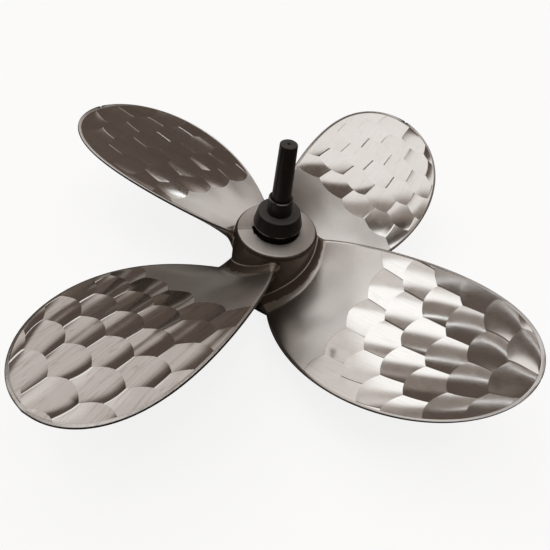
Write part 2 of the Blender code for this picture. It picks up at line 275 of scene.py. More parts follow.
# Patches of floor that the low blade roots mirror: azimuth, half width, near and far
# distance over which the patch sets in, and how bright it is
FLOOR_PATCHES = ((30, 20, 0.72, 0.95, 0.50), (72, 14, 0.20, 0.35, 0.17))
PATCH_SOFTNESS = 4.0
FLOOR_HALF_SIZE = 9.0
FLOOR_SEEN = (0.30, 0.30, 0.30, 1.0)
FLOOR_GLOW = 0.85
FLOOR_DIM = (0.22, 0.195, 0.17, 1.0)
FLOOR_LIGHT = (1.0, 0.95, 0.90, 1.0)
WHITE = (1.0, 1.0, 1.0, 1.0)
# Light between the panels, more of it overhead, and how warm light turns as it dims:
# strength and power of its green and blue
OPEN_LIGHT = 0.26
OVERHEAD_LIGHT = 0.60
OVERHEAD_FROM = (50.0, 80.0)
GREEN = (0.973, 1.10)
BLUE = (0.950, 1.175)
DEGREES = 180.0 / math.pi


# -------- node arithmetic


def operator(name, turned=False):
    """An operator of Number; turned means that the Number stands on the right."""

    def method(self, other):
        values = (other, self) if turned else (self, other)
        return work_out(self.tree, name, *values)

    return method


class Number:
    """A number that nodes work out, so that a formula reads as it does on paper."""

    __add__ = operator("ADD")
    __radd__ = operator("ADD", True)
    __sub__ = operator("SUBTRACT")
    __rsub__ = operator("SUBTRACT", True)
    __mul__ = operator("MULTIPLY")
    __rmul__ = operator("MULTIPLY", True)
    __truediv__ = operator("DIVIDE")
    __pow__ = operator("POWER")

    def __init__(self, tree, socket):
        self.tree = tree
        self.socket = socket

    def __neg__(self):
        return self * -1.0


def feed(tree, socket, value):
    if isinstance(value, Number):
        tree.links.new(value.socket, socket)
    elif isinstance(value, bpy.types.NodeSocket):
        tree.links.new(value, socket)
    else:
        socket.default_value = value


def work_out(tree, operation, *values):
    node = tree.nodes.new("ShaderNodeMath")
    node.operation = operation
    for socket, value in zip(node.inputs, values):
        feed(tree, socket, value)
    return Number(tree, node.outputs[0])


def formula(name):
    """A function of a Number and, where it takes two, another Number or a value."""
    return lambda a, *b: work_out(a.tree, name, a, *b)


least = formula("MINIMUM")
most = formula("MAXIMUM")
size_of = formula("ABSOLUTE")
whole = formula("FLOOR")
root_of = formula("SQRT")
sine = formula("SINE")
cosine = formula("COSINE")
angle_of = formula("ARCTAN2")
above = formula("GREATER_THAN")


def within(a):
    """The number, held between 0 and 1."""
    held = a + 0.0
    held.socket.node.use_clamp = True
    return held


def between(start, end, share):
    return start + share * (end - start)


def soft_step(value, low, high):
    """0 below low, 1 above high and a smooth rise in between."""
    node = value.tree.nodes.new("ShaderNodeMapRange")
    node.interpolation_type = "SMOOTHSTEP"
    feed(value.tree, node.inputs["Value"], value)
    feed(value.tree, node.inputs["From Min"], low)
    feed(value.tree, node.inputs["From Max"], high)
    return Number(value.tree, node.outputs["Result"])


def curve_between(handles, u):
    """Bezier curve through its first and last handles."""
    degree = len(handles) - 1
    left = 1.0 - u
    terms = []
    for k, handle in enumerate(handles):
        term = math.comb(degree, k) * handle
        if k < degree:
            term = left ** float(degree - k) * term
        if k > 0:
            term = u ** float(k) * term
        terms.append(term)
    return sum(terms[1:], terms[0])


def vector_of(tree, x, y, z):
    node = tree.nodes.new("ShaderNodeCombineXYZ")
    for socket, value in zip(node.inputs, (x, y, z)):
        feed(tree, socket, value)
    return node.outputs[0]


def parts_of(tree, vector):
    node = tree.nodes.new("ShaderNodeSeparateXYZ")
    tree.links.new(vector, node.inputs[0])
    return [Number(tree, socket) for socket in node.outputs]


def noise(tree, vector, scale=1.0, detail=2.0, roughness=0.5, distortion=0.0):
    node = tree.nodes.new("ShaderNodeTexNoise")
    tree.links.new(vector, node.inputs["Vector"])
    node.inputs["Scale"].default_value = scale
    node.inputs["Detail"].default_value = detail
    node.inputs["Roughness"].default_value = roughness
    node.inputs["Distortion"].default_value = distortion
    return Number(tree, node.outputs[0])


def chance(tree, a, b):
    """A number from 0 to 1 that is the same for the same two numbers."""
    node = tree.nodes.new("ShaderNodeTexWhiteNoise")
    node.noise_dimensions = "2D"
    tree.links.new(vector_of(tree, a, b, 0.0), node.inputs["Vector"])
    return Number(tree, node.outputs["Value"])


# -------- ground scales


def start_of_column(column, starts):
    terms = []
    for k, start in enumerate(starts):
        terms.append(work_out(column.tree, "COMPARE", column, float(k), 0.25) * start)
    return sum(terms[1:], terms[0])


def scale_field(radius, along, starts, bulge_size):
    """Where a point lies in the scales: column, scale, share along and across it."""
    ahead = most(-along, 0.0)
    lean = COLUMN_LEAN * ahead / COLUMN_LEAN_REACH
    base = (radius - 0.5 * lean - COLUMN_BEND * ahead * ahead) / (1.0 - lean)
    place = (base - FIRST_COLUMN) / COLUMN_PITCH
    inner = whole(place)
    across = place - inner
    outer = inner + 1.0
    outer_share = along / SCALE_LENGTH - start_of_column(outer, starts)
    outer_share = outer_share - whole(outer_share)
    middle = 2.0 * outer_share - 1.0
    bulge = bulge_size * (1.0 - middle * middle)
    column = inner + above(across, 1.0 - bulge)
    across = place - column
    droop = DROOPS[0] + DROOPS[1] * soft_step(place, *DROOP_COLUMNS)
    droop = droop * least((along + DROOP_START) / DROOP_REACH, 1.0)
    outward = most(across, 0.0)
    path = along + droop * outward ** DROOP_POWER
    count = path / SCALE_LENGTH - start_of_column(column, starts)
    scale = whole(count)
    return {
        "column": column,
        "scale": scale,
        "share": count - scale,
        "across": across,
        "bend": DROOP_POWER * droop * outward ** (DROOP_POWER - 1.0) / COLUMN_PITCH,
        "tiled": above(column, -0.5),
    }


def scoop_height(field):
    """Height of the ground surface, from -0.43 in the middle of a scale to 0.67 on its border."""
    share = field["share"]
    hollow = HOLLOW * share * (share - 1.0) + HOLLOW_RISE
    across = within(field["across"])
    cross = CROSS_HOLLOW * across * (across - 1.0)
    return (hollow + cross) * field["tiled"]


def scooped_normal(tree, field, tone, shown, place):
    """The normal of the ground surface, from the slopes of the scale along and across it."""
    nx, ny, nz = parts_of(tree, attribute(tree, "plain_normal"))
    x, y, _ = parts_of(tree, place)
    radius = root_of(x * x + y * y)
    share = field["share"]
    shown = field["tiled"] * shown
    lowest, highest, _ = parts_of(tree, attribute(tree, "first_slopes"))
    others = above(field["column"], 0.5)
    steep = most(2.0 * HOLLOW * share - HOLLOW, between(lowest, -HOLLOW, others))
    steep = least(steep, between(highest, HOLLOW, others)) * (MIRRORED_DEPTH / SCALE_LENGTH)
    cross = 2.0 * CROSS_HOLLOW * within(field["across"]) - CROSS_HOLLOW
    cross = cross * (MIRRORED_DEPTH / COLUMN_PITCH)
    flat = above(FLAT_WIDTHS[0] + FLAT_WIDTHS[1] * tone, share) * FLAT_SLOPE
    outward = (steep * field["bend"] + cross) * shown / radius
    along = (steep - flat) * shown / radius
    node = tree.nodes.new("ShaderNodeVectorMath")
    node.operation = "NORMALIZE"
    nx = nx - outward * x + along * y
    ny = ny - outward * y - along * x
    tree.links.new(vector_of(tree, nx, ny, nz), node.inputs[0])
    return node.outputs["Vector"]


# -------- blades


def tree_inputs(tree, sizes):
    """Named inputs with these values; returns the node that gives them."""
    for name, value in sizes.items():
        kind = "NodeSocketFloat"
        if isinstance(value, tuple):
            kind = "NodeSocketVector"
        elif isinstance(value, int):
            kind = "NodeSocketInt"
        elif isinstance(value, bpy.types.Material):
            kind = "NodeSocketMaterial"
        socket = tree.interface.new_socket(name=name, in_out="INPUT", socket_type=kind)
        if kind != "NodeSocketMaterial":
            socket.default_value = value
    return tree.nodes.new("NodeGroupInput")


def stored(tree, geometry, name, value, kind="FLOAT"):
    node = tree.nodes.new("GeometryNodeStoreNamedAttribute")
    node.data_type = kind
    tree.links.new(geometry, node.inputs["Geometry"])
    node.inputs["Name"].default_value = name
    feed(tree, node.inputs["Value"], value)
    return node.outputs["Geometry"]


def recalled(tree, name, kind="FLOAT"):
    node = tree.nodes.new("GeometryNodeInputNamedAttribute")
    node.data_type = kind
    node.inputs["Name"].default_value = name
    return node.outputs["Attribute"]


def standing(tree):
    """Where each point of the mesh is."""
    return tree.nodes.new("GeometryNodeInputPosition").outputs[0]


def facing(tree):
    """Which way the mesh looks at each point."""
    return tree.nodes.new("GeometryNodeInputNormal").outputs[0]


def placed(tree, geometry, position):
    node = tree.nodes.new("GeometryNodeSetPosition")
    tree.links.new(geometry, node.inputs["Geometry"])
    tree.links.new(position, node.inputs["Position"])
    return node.outputs["Geometry"]


def blade_tube(tree, given):
    """A closed tube: round it go the two faces and edges, along it the radius grows."""
    node = tree.nodes.new("GeometryNodeMeshCylinder")
    node.fill_type = "NGON"
    tree.links.new(given.outputs["Steps Round"], node.inputs["Vertices"])
    tree.links.new(given.outputs["Steps Along"], node.inputs["Side Segments"])
    node.inputs["Radius"].default_value = 1.0
    node.inputs["Depth"].default_value = 1.0
    x, y, z = parts_of(tree, standing(tree))
    turn = angle_of(y, x) / (2.0 * math.pi)
    turn = turn - whole(turn + 0.0001)
    step = work_out(tree, "ROUND", turn * Number(tree, given.outputs["Steps Round"]))
    row = (0.5 + z) * Number(tree, given.outputs["Steps Along"])
    tip = Number(tree, given.outputs["Tip Radius"]) * TIP_CLOSING
    hub = Number(tree, given.outputs["Hub Radius"])
    beside_hub = within(row / ROOT_STEPS)
    radius = between(hub - ROOT_DEPTH_IN_HUB, hub + ROOT_ZONE, beside_hub)
    left = (float(SPAN_STEPS) - row) / float(SPAN_STEPS - ROOT_STEPS)
    far = tip - (tip - hub - ROOT_ZONE) * within(left) ** SPAN_CROWDING
    radius = radius + above(row, float(ROOT_STEPS)) * (far - radius)
    mesh = stored(tree, node.outputs["Mesh"], "step", step)
    return stored(tree, mesh, "blade_radius", radius)


def span_share(radius):
    """0 at the root station and 1 at the tip."""
    return (radius - ROOT_STATION_RADIUS) / (TIP_RADIUS - ROOT_STATION_RADIUS)


def blade_sections(tree, given, mesh):
    """The sections laid out straight: along the chord, square to it, and the radius."""
    radius = Number(tree, recalled(tree, "blade_radius"))
    step = Number(tree, recalled(tree, "step"))
    tip = Number(tree, given.outputs["Tip Radius"])
    u = span_share(radius)
    widest = curve_between(WIDTHS, u)
    closing = 1.0 - (radius / tip) ** TIP_FULLNESS
    width = root_of(most(closing, 0.0)) * widest
    edge = between(EDGES[0], EDGES[1], u)
    thickness = between(THICKNESSES[0], THICKNESSES[1], u)
    hollow = thickness * between(HOLLOWS[0], HOLLOWS[1], u)
    thickness = least(thickness, edge + THICKNESS_PER_WIDTH * width)
    edge = least(edge, EDGE_PER_WIDTH * width)
    first = within(step / FACE_STEPS)
    second = within((step - FACE_STEPS - EDGE_STEPS) / BACK_STEPS)
    v = 1.0 - 2.0 * first + 2.0 * second
    v = (1.0 - EDGE_CROWDING) * v + EDGE_CROWDING * sine(0.5 * math.pi * v)
    lead = within((step - FACE_STEPS) / EDGE_STEPS)
    trail = within((step - FACE_STEPS - EDGE_STEPS - BACK_STEPS) / EDGE_STEPS)
    turn = math.pi * (0.5 + lead + trail)
    room = most(1.0 - v * v, 0.0)
    fullness = room ** SECTION_FULLNESS * (1.0 - SECTION_FORWARD_SHIFT * v)
    half = 0.5 * (edge + (thickness - edge) * fullness)
    along = 0.5 * v * (width - edge) + 0.5 * edge * cosine(turn)
    across = half * sine(turn) - hollow * room
    mesh = placed(tree, mesh, vector_of(tree, along, across, radius))
    reach = 4.0 * along / (widest * widest)
    slope = TIP_FULLNESS * radius ** (TIP_FULLNESS - 1.0) / TIP_RADIUS ** TIP_FULLNESS
    gap = (closing - reach * along) / root_of(4.0 * reach * reach + slope * slope)
    place = vector_of(tree, radius, along, most(gap, 0.0))
    mesh = stored(tree, mesh, "blade_place", place, VECTOR)
    return stored(tree, mesh, "chord_share", along / width + 0.5)


def blade_fillet(tree, given, mesh):
    """Moves the sections outwards beside the hub; the fillet is larger at the leading edge."""
    radius = Number(tree, recalled(tree, "blade_radius"))
    share = Number(tree, recalled(tree, "chord_share"))
    hub = Number(tree, given.outputs["Hub Radius"])
    size = between(FILLET_SIZES[0], FILLET_SIZES[1], share)
    extent = between(FILLET_RISES[0], FILLET_RISES[1], share)
    power = between(FILLET_CURVES[0], FILLET_CURVES[1], share)
    reach = size * (1.0 - within((radius - hub) / extent)) ** power
    x, y, z = parts_of(tree, standing(tree))
    out_x, out_y, _ = parts_of(tree, facing(tree))
    run = most(root_of(out_x * out_x + out_y * out_y), 0.001)
    moved = vector_of(tree, x + reach * out_x / run, y + reach * out_y / run, z)
    return placed(tree, mesh, moved)


def blade_wrap(tree, mesh):
    """Lays the straight sections on their cylinders, at their pitch, skew and rake."""
    along, across, radius = parts_of(tree, standing(tree))
    u = span_share(radius)
    slope = angle_of(curve_between(PITCHES, u), 2.0 * math.pi * radius)
    round_about = along * cosine(slope) - across * sine(slope)
    height = along * sine(slope) + across * cosine(slope)
    angle = curve_between(SKEWS, u) + round_about / radius
    height = BLADE_PLANE_HEIGHT + curve_between(RAKES, u) + height
    height = most(height, FILLET_TRIM)
    spot = vector_of(tree, radius * cosine(angle), radius * sine(angle), height)
    return placed(tree, mesh, spot)


def blade_in_place(tree, given, mesh):
    """The blade turned to its place on the hub, with its own starts and finish."""
    line = tree.nodes.new("GeometryNodeMeshLine")
    line.inputs["Count"].default_value = 1
    points = line.outputs["Mesh"]
    for name in ("Inner Starts", "Outer Starts", "Finish", "First Slopes"):
        label = name.lower().replace(" ", "_")
        points = stored(tree, points, label, given.outputs[name], VECTOR)
    copies = tree.nodes.new("GeometryNodeInstanceOnPoints")
    tree.links.new(points, copies.inputs["Points"])
    tree.links.new(mesh, copies.inputs["Instance"])
    turn = Number(tree, given.outputs["Turn"])
    tree.links.new(vector_of(tree, 0.0, 0.0, turn), copies.inputs["Rotation"])
    real = tree.nodes.new("GeometryNodeRealizeInstances")
    tree.links.new(copies.outputs["Instances"], real.inputs["Geometry"])
    return real.outputs["Geometry"]


def blade_scoops(tree, given, mesh):
    """Sinks each ground scale into the faces, and leaves the rim and the root plain."""
    radius, along, gap = parts_of(tree, recalled(tree, "blade_place", VECTOR))
    inner = parts_of(tree, recalled(tree, "inner_starts", VECTOR))
    outer = parts_of(tree, recalled(tree, "outer_starts", VECTOR))
    _, share, bulge = parts_of(tree, recalled(tree, "finish", VECTOR))
    field = scale_field(radius, along, inner + outer, bulge)
    sink = scoop_height(field) * soft_step(gap, *SCOOPS_FROM_RIM)
    sink = sink * share * Number(tree, given.outputs["Scoop Depth"])
    spot = parts_of(tree, standing(tree))
    mesh = stored(tree, mesh, "plain_normal", facing(tree), VECTOR)
    out = parts_of(tree, recalled(tree, "plain_normal", VECTOR))
    moved = [a + b * sink for a, b in zip(spot, out)]
    return placed(tree, mesh, vector_of(tree, *moved))


def blade_tree(sizes):
    tree = bpy.data.node_groups.new("cast_blade", "GeometryNodeTree")
    given = tree_inputs(tree, sizes)
    kind = "NodeSocketGeometry"
    tree.interface.new_socket(name="Geometry", in_out="OUTPUT", socket_type=kind)
    mesh = blade_tube(tree, given)
    mesh = blade_sections(tree, given, mesh)
    mesh = blade_fillet(tree, given, mesh)
    mesh = blade_wrap(tree, mesh)
    mesh = blade_in_place(tree, given, mesh)
    mesh = blade_scoops(tree, given, mesh)
    smooth = tree.nodes.new("GeometryNodeSetShadeSmooth")
    tree.links.new(mesh, smooth.inputs["Geometry"])
    coat = tree.nodes.new("GeometryNodeSetMaterial")
    tree.links.new(smooth.outputs["Geometry"], coat.inputs["Geometry"])
    tree.links.new(given.outputs["Material"], coat.inputs["Material"])
    out = tree.nodes.new("NodeGroupOutput")
    tree.links.new(coat.outputs["Geometry"], out.inputs["Geometry"])
    return tree


def hub_radius_at(height):
    return between(HUB_FORE_RADIUS, HUB_AFT_RADIUS, height / HUB_LENGTH)


def bore_radius_at(height):
    return between(BORE_FORE_RADIUS, BORE_AFT_RADIUS, height / HUB_LENGTH)


def blade_sizes(number, material):
    """What goes into the tree for this blade."""
    return {
        "Steps Round": FACE_STEPS + BACK_STEPS + 2 * EDGE_STEPS,
        "Steps Along": SPAN_STEPS,
        "Tip Radius": TIP_RADIUS,
        "Hub Radius": hub_radius_at(BLADE_PLANE_HEIGHT),
        "Turn": 2.0 * math.pi * number / BLADE_COUNT,
        "Inner Starts": INNER_STARTS[number],
        "Outer Starts": OUTER_STARTS[number],
        "Finish": FINISHES[number],
        "First Slopes": FIRST_SLOPES[number],
        "Scoop Depth": SCOOP_DEPTH,
        "Material": material,
    }


def build_blades(material):
    tree = blade_tree(blade_sizes(0, material))
    pieces = []
    for number in range(BLADE_COUNT):
        name = "cast_blade_%d" % (number + 1)
        start = add_piece("start_of_" + name, bpy.data.meshes.new("start_of_" + name))
        modifier = start.modifiers.new("cast_blade", "NODES")
        modifier.node_group = tree
        sizes = blade_sizes(number, material)
        for item in tree.interface.items_tree:
            if item.in_out == "INPUT":
                modifier[item.identifier] = sizes[item.name]
        piece = frozen(start, name)
        piece.data.materials.clear()
        piece.data.materials.append(material)
        pieces.append(piece)
    return pieces


def frozen(item, name):
    """The evaluated object as a plain mesh in a new object, and the old one removed."""
    bpy.context.view_layer.update()
    ready = item.evaluated_get(bpy.context.evaluated_depsgraph_get())
    mesh = bpy.data.meshes.new_from_object(ready)
    item.modifiers.clear()
    bpy.data.objects.remove(item)
    mesh.name = name
    return add_piece(name, mesh)


def add_piece(name, data, material=None):
    piece = bpy.data.objects.new(name, data)
    bpy.context.scene.collection.objects.link(piece)
    if material is not None:
        data.materials.append(material)
    return piece


# -------- turned pieces


def rounded(profile, rounding):
    """The closed profile with each corner off the axis rounded."""
    points = [Vector(point) for point in profile]
    count = len(points)
    result = []
    for i, corner in enumerate(points):
        before = points[i - 1] - corner
        after = points[(i + 1) % count] - corner
        if corner.x < TINY or min(before.length, after.length) < TINY:
            result.append(corner)
            continue
        size = min(rounding, 0.45 * before.length, 0.45 * after.length)
        start = corner + before.normalized() * size
        end = corner + after.normalized() * size
        for step in range(CORNER_STEPS + 1):
            share = step / CORNER_STEPS
            low = start.lerp(corner, share)
            result.append(low.lerp(corner.lerp(end, share), share))
    return result


def mesh_of(name, form):
    mesh = bpy.data.meshes.new(name)
    form.to_mesh(mesh)
    form.free()
    return mesh


def turned_mesh(name, profile):
    """The closed profile, running down its outer side, turned about the axis."""
    form = bmesh.new()
    rings = []
    for radius, height in profile:
        if radius < TINY:
            rings.append([form.verts.new((0.0, 0.0, height))])
            continue
        ring = []
        for step in range(TURNED_STEPS):
            angle = 2.0 * math.pi * step / TURNED_STEPS
            spot = (radius * math.cos(angle), radius * math.sin(angle), height)
            ring.append(form.verts.new(spot))
        rings.append(ring)
    pairs = list(zip(rings, rings[1:]))
    if len(rings[0]) > 1 or len(rings[-1]) > 1:
        pairs.append((rings[-1], rings[0]))
    for upper, lower in pairs:
        for i in range(TURNED_STEPS):
            j = (i + 1) % TURNED_STEPS
            corners = [upper[i % len(upper)], lower[i % len(lower)]]
            corners += [lower[j % len(lower)], upper[j % len(upper)]]
            corners = list(dict.fromkeys(corners))
            if len(corners) > 2:
                form.faces.new(corners)
    bmesh.ops.recalc_face_normals(form, faces=form.faces)
    return mesh_of(name, form)


def shade_round(mesh):
    mesh.shade_smooth()
    mesh.set_sharp_from_angle(angle=SHARP_ANGLE)


def turned_piece(name, profile, material):
    mesh = turned_mesh(name, rounded(profile, EDGE_ROUNDING))
    shade_round(mesh)
    return add_piece(name, mesh, material)


def cut_piece(name, blank, operation, cutter):
    """The blank less the cutter or crossed with it, as one plain mesh."""
    cut = blank.modifiers.new("cut", "BOOLEAN")
    cut.operation = operation
    cut.solver = "EXACT"
    cut.object = cutter
    piece = frozen(blank, name)
    bpy.data.objects.remove(cutter)
    shade_round(piece.data)
    return piece


# -------- hub


def hub_profile():
    top = HUB_LENGTH
    shoulder = hub_radius_at(top)
    return [
        (bore_radius_at(top) + BORE_AFT_CHAMFER, top),
        (shoulder - HUB_AFT_CHAMFER, top),
        (shoulder - HUB_AFT_BEVEL, top - HUB_AFT_BEVEL),
        (shoulder, top - HUB_AFT_CHAMFER - HUB_AFT_BEVEL),
        (hub_radius_at(BLADE_PLANE_HEIGHT), BLADE_PLANE_HEIGHT),
        (hub_radius_at(HUB_FORE_CHAMFER), HUB_FORE_CHAMFER),
        (hub_radius_at(0.0) - HUB_FORE_CHAMFER, 0.0),
        (bore_radius_at(0.0) + BORE_FORE_CHAMFER, 0.0),
        (bore_radius_at(BORE_FORE_CHAMFER), BORE_FORE_CHAMFER),
        (bore_radius_at(top - BORE_AFT_CHAMFER), top - BORE_AFT_CHAMFER),
    ]


def keyway_cutter():
    lean = math.atan2(BORE_FORE_RADIUS - BORE_AFT_RADIUS, HUB_LENGTH)
    reach = 0.5 * (BORE_FORE_RADIUS + BORE_AFT_RADIUS) + KEYWAY_DEPTH
    form = bmesh.new()
    bmesh.ops.create_cube(form, size=1.0)
    size = Matrix.Diagonal((reach, KEYWAY_WIDTH, 1.4 * HUB_LENGTH, 1.0))
    place = Matrix.Rotation(KEYWAY_ANGLE, 4, "Z")
    place = Matrix.Translation((0.0, 0.0, 0.5 * HUB_LENGTH)) @ place
    place = place @ Matrix.Rotation(-lean, 4, "Y") @ Matrix.Translation((0.5 * reach, 0, 0))
    bmesh.ops.transform(form, matrix=place @ size, verts=form.verts)
    return add_piece("keyway_cutter", mesh_of("keyway_cutter", form))


def build_hub(material):
    blank = turned_mesh("hub_blank", rounded(hub_profile(), HUB_ROUNDING))
    blank = add_piece("hub_blank", blank, material)
    return cut_piece("cast_hub", blank, "DIFFERENCE", keyway_cutter())


# -------- mandrel


def shaft_profile():
    return [
        (0.0, SHAFT_TOP - CENTRE_HOLE_DEPTH),
        (CENTRE_HOLE_RADIUS, SHAFT_TOP),
        (SHAFT_TOP_RADIUS - SHAFT_CHAMFER, SHAFT_TOP),
        (SHAFT_TOP_RADIUS, SHAFT_TOP - SHAFT_CHAMFER),
        (SHAFT_RADIUS, SHAFT_TOP - SHAFT_TAPER_LENGTH),
        (SHAFT_RADIUS, SHAFT_FOOT + SHAFT_CHAMFER),
        (SHAFT_RADIUS - SHAFT_CHAMFER, SHAFT_FOOT),
        (0.0, SHAFT_FOOT),
    ]


def lock_collar_profile():
    return [
        (LOCK_RECESS_RADIUS, LOCK_TOP),
        (LOCK_COLLAR_RADIUS - LOCK_COLLAR_CHAMFER, LOCK_TOP),
        (LOCK_COLLAR_RADIUS, LOCK_TOP - LOCK_COLLAR_CHAMFER),
        (LOCK_COLLAR_RADIUS, LOCK_FOOT),
        (INNER_RADIUS, LOCK_FOOT),
        (INNER_RADIUS, LOCK_TOP - LOCK_RECESS_DEPTH),
        (LOCK_RECESS_RADIUS, LOCK_TOP - LOCK_RECESS_DEPTH),
    ]


def ring_profile(*outside):
    """A ring round the shaft, from the points of its outside, which run down."""
    return [*outside, (INNER_RADIUS, outside[-1][1]), (INNER_RADIUS, outside[0][1])]


def plug_wall(height):
    return bore_radius_at(height) - PLUG_WALL_CLEARANCE


def build_mandrel(black, plug_black, plain):
    """The mandrel's pieces, each with the node that it replaces."""
    seat = HUB_LENGTH - BORE_AFT_CHAMFER
    plug_foot = HUB_LENGTH - PLUG_LENGTH
    low = LOWER_PLUG_INSET
    high = low + LOWER_PLUG_LENGTH
    washer_top = low - FIT_GAP
    washer_foot = washer_top - WASHER_THICKNESS
    clamping_collar = ring_profile(
        (CLAMP_COLLAR_TOP_RADIUS - CLAMP_COLLAR_CHAMFER, COLLAR_TOP),
        (CLAMP_COLLAR_TOP_RADIUS, COLLAR_TOP - CLAMP_COLLAR_CHAMFER),
        (RIM_RADIUS, COLLAR_FOOT + RIM_THICKNESS),
        (RIM_RADIUS, COLLAR_FOOT),
    )
    upper_plug = ring_profile(
        (plug_wall(seat), COLLAR_FOOT - FIT_GAP),
        (plug_wall(seat), seat),
        (plug_wall(plug_foot), plug_foot),
    )
    lower_plug = ring_profile((plug_wall(high), high), (plug_wall(low), low))
    washer = ring_profile((WASHER_RADIUS, washer_top), (WASHER_RADIUS, washer_foot))
    turned = (
        ("shaft_of_mandrel", "mandrel_shaft", shaft_profile(), black),
        ("collar_lock", "lock_collar", lock_collar_profile(), black),
        ("collar_clamp", "clamping_collar", clamping_collar, black),
        ("plug_upper", "upper_centring_plug", upper_plug, plug_black),
        ("plug_lower", "lower_centring_plug", lower_plug, plug_black),
        ("washer_clamp", "clamp_washer", washer, plain),
    )
    pieces = []
    for name, node, profile, material in turned:
        pieces.append((turned_piece(name, profile, material), node))
    pieces.append((build_nut(plain, washer_foot - FIT_GAP), "clamp_nut"))
    return pieces


def build_nut(material, top):
    """Hexagon nut: a turned blank with chamfered corners, cut to its flats."""
    corner = 0.5 * NUT_ACROSS_FLATS / math.cos(math.pi / 6.0)
    foot = top - NUT_HEIGHT
    chamfer = corner - 0.5 * NUT_ACROSS_FLATS + NUT_FACE_INSET
    profile = [
        (corner - chamfer, top),
        (corner + NUT_BLANK_MARGIN, top - 0.5 * chamfer),
        (corner + NUT_BLANK_MARGIN, foot + 0.5 * chamfer),
        (corner - chamfer, foot),
        (INNER_RADIUS + NUT_HOLE_CHAMFER, foot),
        (INNER_RADIUS, foot + NUT_HOLE_CHAMFER),
        (INNER_RADIUS, top - NUT_HOLE_CHAMFER),
        (INNER_RADIUS + NUT_HOLE_CHAMFER, top),
    ]
    blank = add_piece("nut_blank", turned_mesh("nut_blank", profile), material)
    form = bmesh.new()
    size = {"segments": 6, "radius1": corner, "radius2": corner, "depth": 2.0 * NUT_HEIGHT}
    bmesh.ops.create_cone(form, cap_ends=True, **size)
    place = Matrix.Translation((0.0, 0.0, 0.5 * (top + foot)))
    bmesh.ops.transform(form, matrix=place, verts=form.verts)
    hexagon = add_piece("hexagon", mesh_of("hexagon", form))
    return cut_piece("nut_clamp", blank, "INTERSECT", hexagon)


# -------- materials


def new_material(name, colour, metallic, roughness):
    material = bpy.data.materials.new(name)
    material.use_nodes = True
    tree = material.node_tree
    shader = tree.nodes["Principled BSDF"]
    shader.inputs["Base Color"].default_value = (*colour, 1.0)
    shader.inputs["Metallic"].default_value = metallic
    shader.inputs["Roughness"].default_value = roughness
    return material, tree, shader


def attribute(tree, name):
    node = tree.nodes.new("ShaderNodeAttribute")
    node.attribute_type = "GEOMETRY"
    node.attribute_name = name
    return node.outputs["Vector"]


def tint(tree, share, dark, light):
    """A colour between two, by a number from 0 to 1."""
    node = tree.nodes.new("ShaderNodeMix")
    node.data_type = "RGBA"
    feed(tree, node.inputs["Factor"], share)
    for socket, colour in ((node.inputs["A"], dark), (node.inputs["B"], light)):
        feed(tree, socket, (*colour, 1.0) if isinstance(colour, tuple) else colour)
    return node.outputs["Result"]


def bump(tree, height, normal=None):
    """A normal from a height in metres."""
    node = tree.nodes.new("ShaderNodeBump")
    node.inputs["Strength"].default_value = 1.0
    node.inputs["Distance"].default_value = 1.0
    feed(tree, node.inputs["Height"], height)
    if normal is not None:
        tree.links.new(normal, node.inputs["Normal"])
    return node.outputs["Normal"]


def new_group(name, inputs, outputs):
    """A shader group that is given a place and these numbers, and gives numbers back."""
    tree = bpy.data.node_groups.new(name, "ShaderNodeTree")
    tree.interface.new_socket(name="Place", in_out="INPUT", socket_type="NodeSocketVector")
    for way, labels in (("INPUT", inputs), ("OUTPUT", outputs)):
        for label in labels:
            tree.interface.new_socket(name=label, in_out=way, socket_type="NodeSocketFloat")
    return tree, tree.nodes.new("NodeGroupInput"), tree.nodes.new("NodeGroupOutput")


def group_value(tree, group, output, place, **values):
    """An output of a group placed in this tree, with these values on its inputs."""
    node = tree.nodes.new("ShaderNodeGroup")
    node.node_tree = group
    tree.links.new(place, node.inputs["Place"])
    for name, value in values.items():
        feed(tree, node.inputs[name], value)
    return Number(tree, node.outputs[output])


def polish_group():
    """Slow waves and fine scratches that hand polishing leaves in a casting."""
    tree, given, out = new_group("hand_polish", (), ("Waves", "Clouds", "Scratches"))
    spot = given.outputs["Place"]
    feed(tree, out.inputs["Waves"], noise(tree, spot, 14.0, 0.0))
    feed(tree, out.inputs["Clouds"], noise(tree, spot, 38.0, 4.0, 0.6, 0.6))
    feed(tree, out.inputs["Scratches"], noise(tree, spot, 420.0, 3.0, 0.6))
    return tree


def turning_group():
    """Fine rings that a lathe tool leaves round the axis."""
    tree, given, out = new_group("turning_marks", ("Fineness",), ("Rings",))
    x, y, z = parts_of(tree, given.outputs["Place"])
    fineness = Number(tree, given.outputs["Fineness"])
    radius = root_of(x * x + y * y)
    spot = vector_of(tree, radius * fineness, z * fineness, 0.0)
    feed(tree, out.inputs["Rings"], noise(tree, spot, 1.0, 2.0, 0.6))
    return tree


def wear_and_highlight_group():
    """1 along a turned edge, which is painted bright: rubbed metal with a painted highlight."""
    tree, given, out = new_group("rubbed_and_highlit_edge", ("Radius", "Height", "Width"), ("Wear And Highlight",))
    x, y, z = parts_of(tree, given.outputs["Place"])
    width = Number(tree, given.outputs["Width"])
    off = root_of(x * x + y * y) - Number(tree, given.outputs["Radius"])
    rise = z - Number(tree, given.outputs["Height"])
    away = root_of(off * off + rise * rise)
    line = 1.0 - soft_step(away, 0.4 * width, width)
    patchy = soft_step(noise(tree, given.outputs["Place"], 55.0, 3.0), 0.36, 0.50)
    feed(tree, out.inputs["Wear And Highlight"], line * patchy)
    return tree


def seen_at(tree, kind="Object"):
    """The object's own place of the point that is shaded, or another kind of place."""
    return tree.nodes.new("ShaderNodeTexCoord").outputs[kind]


def line_at(value, middle, core, reach):
    """1 where the value is within the core of the middle, and 0 beyond the reach."""
    return 1.0 - soft_step(size_of(value - middle), core, reach)


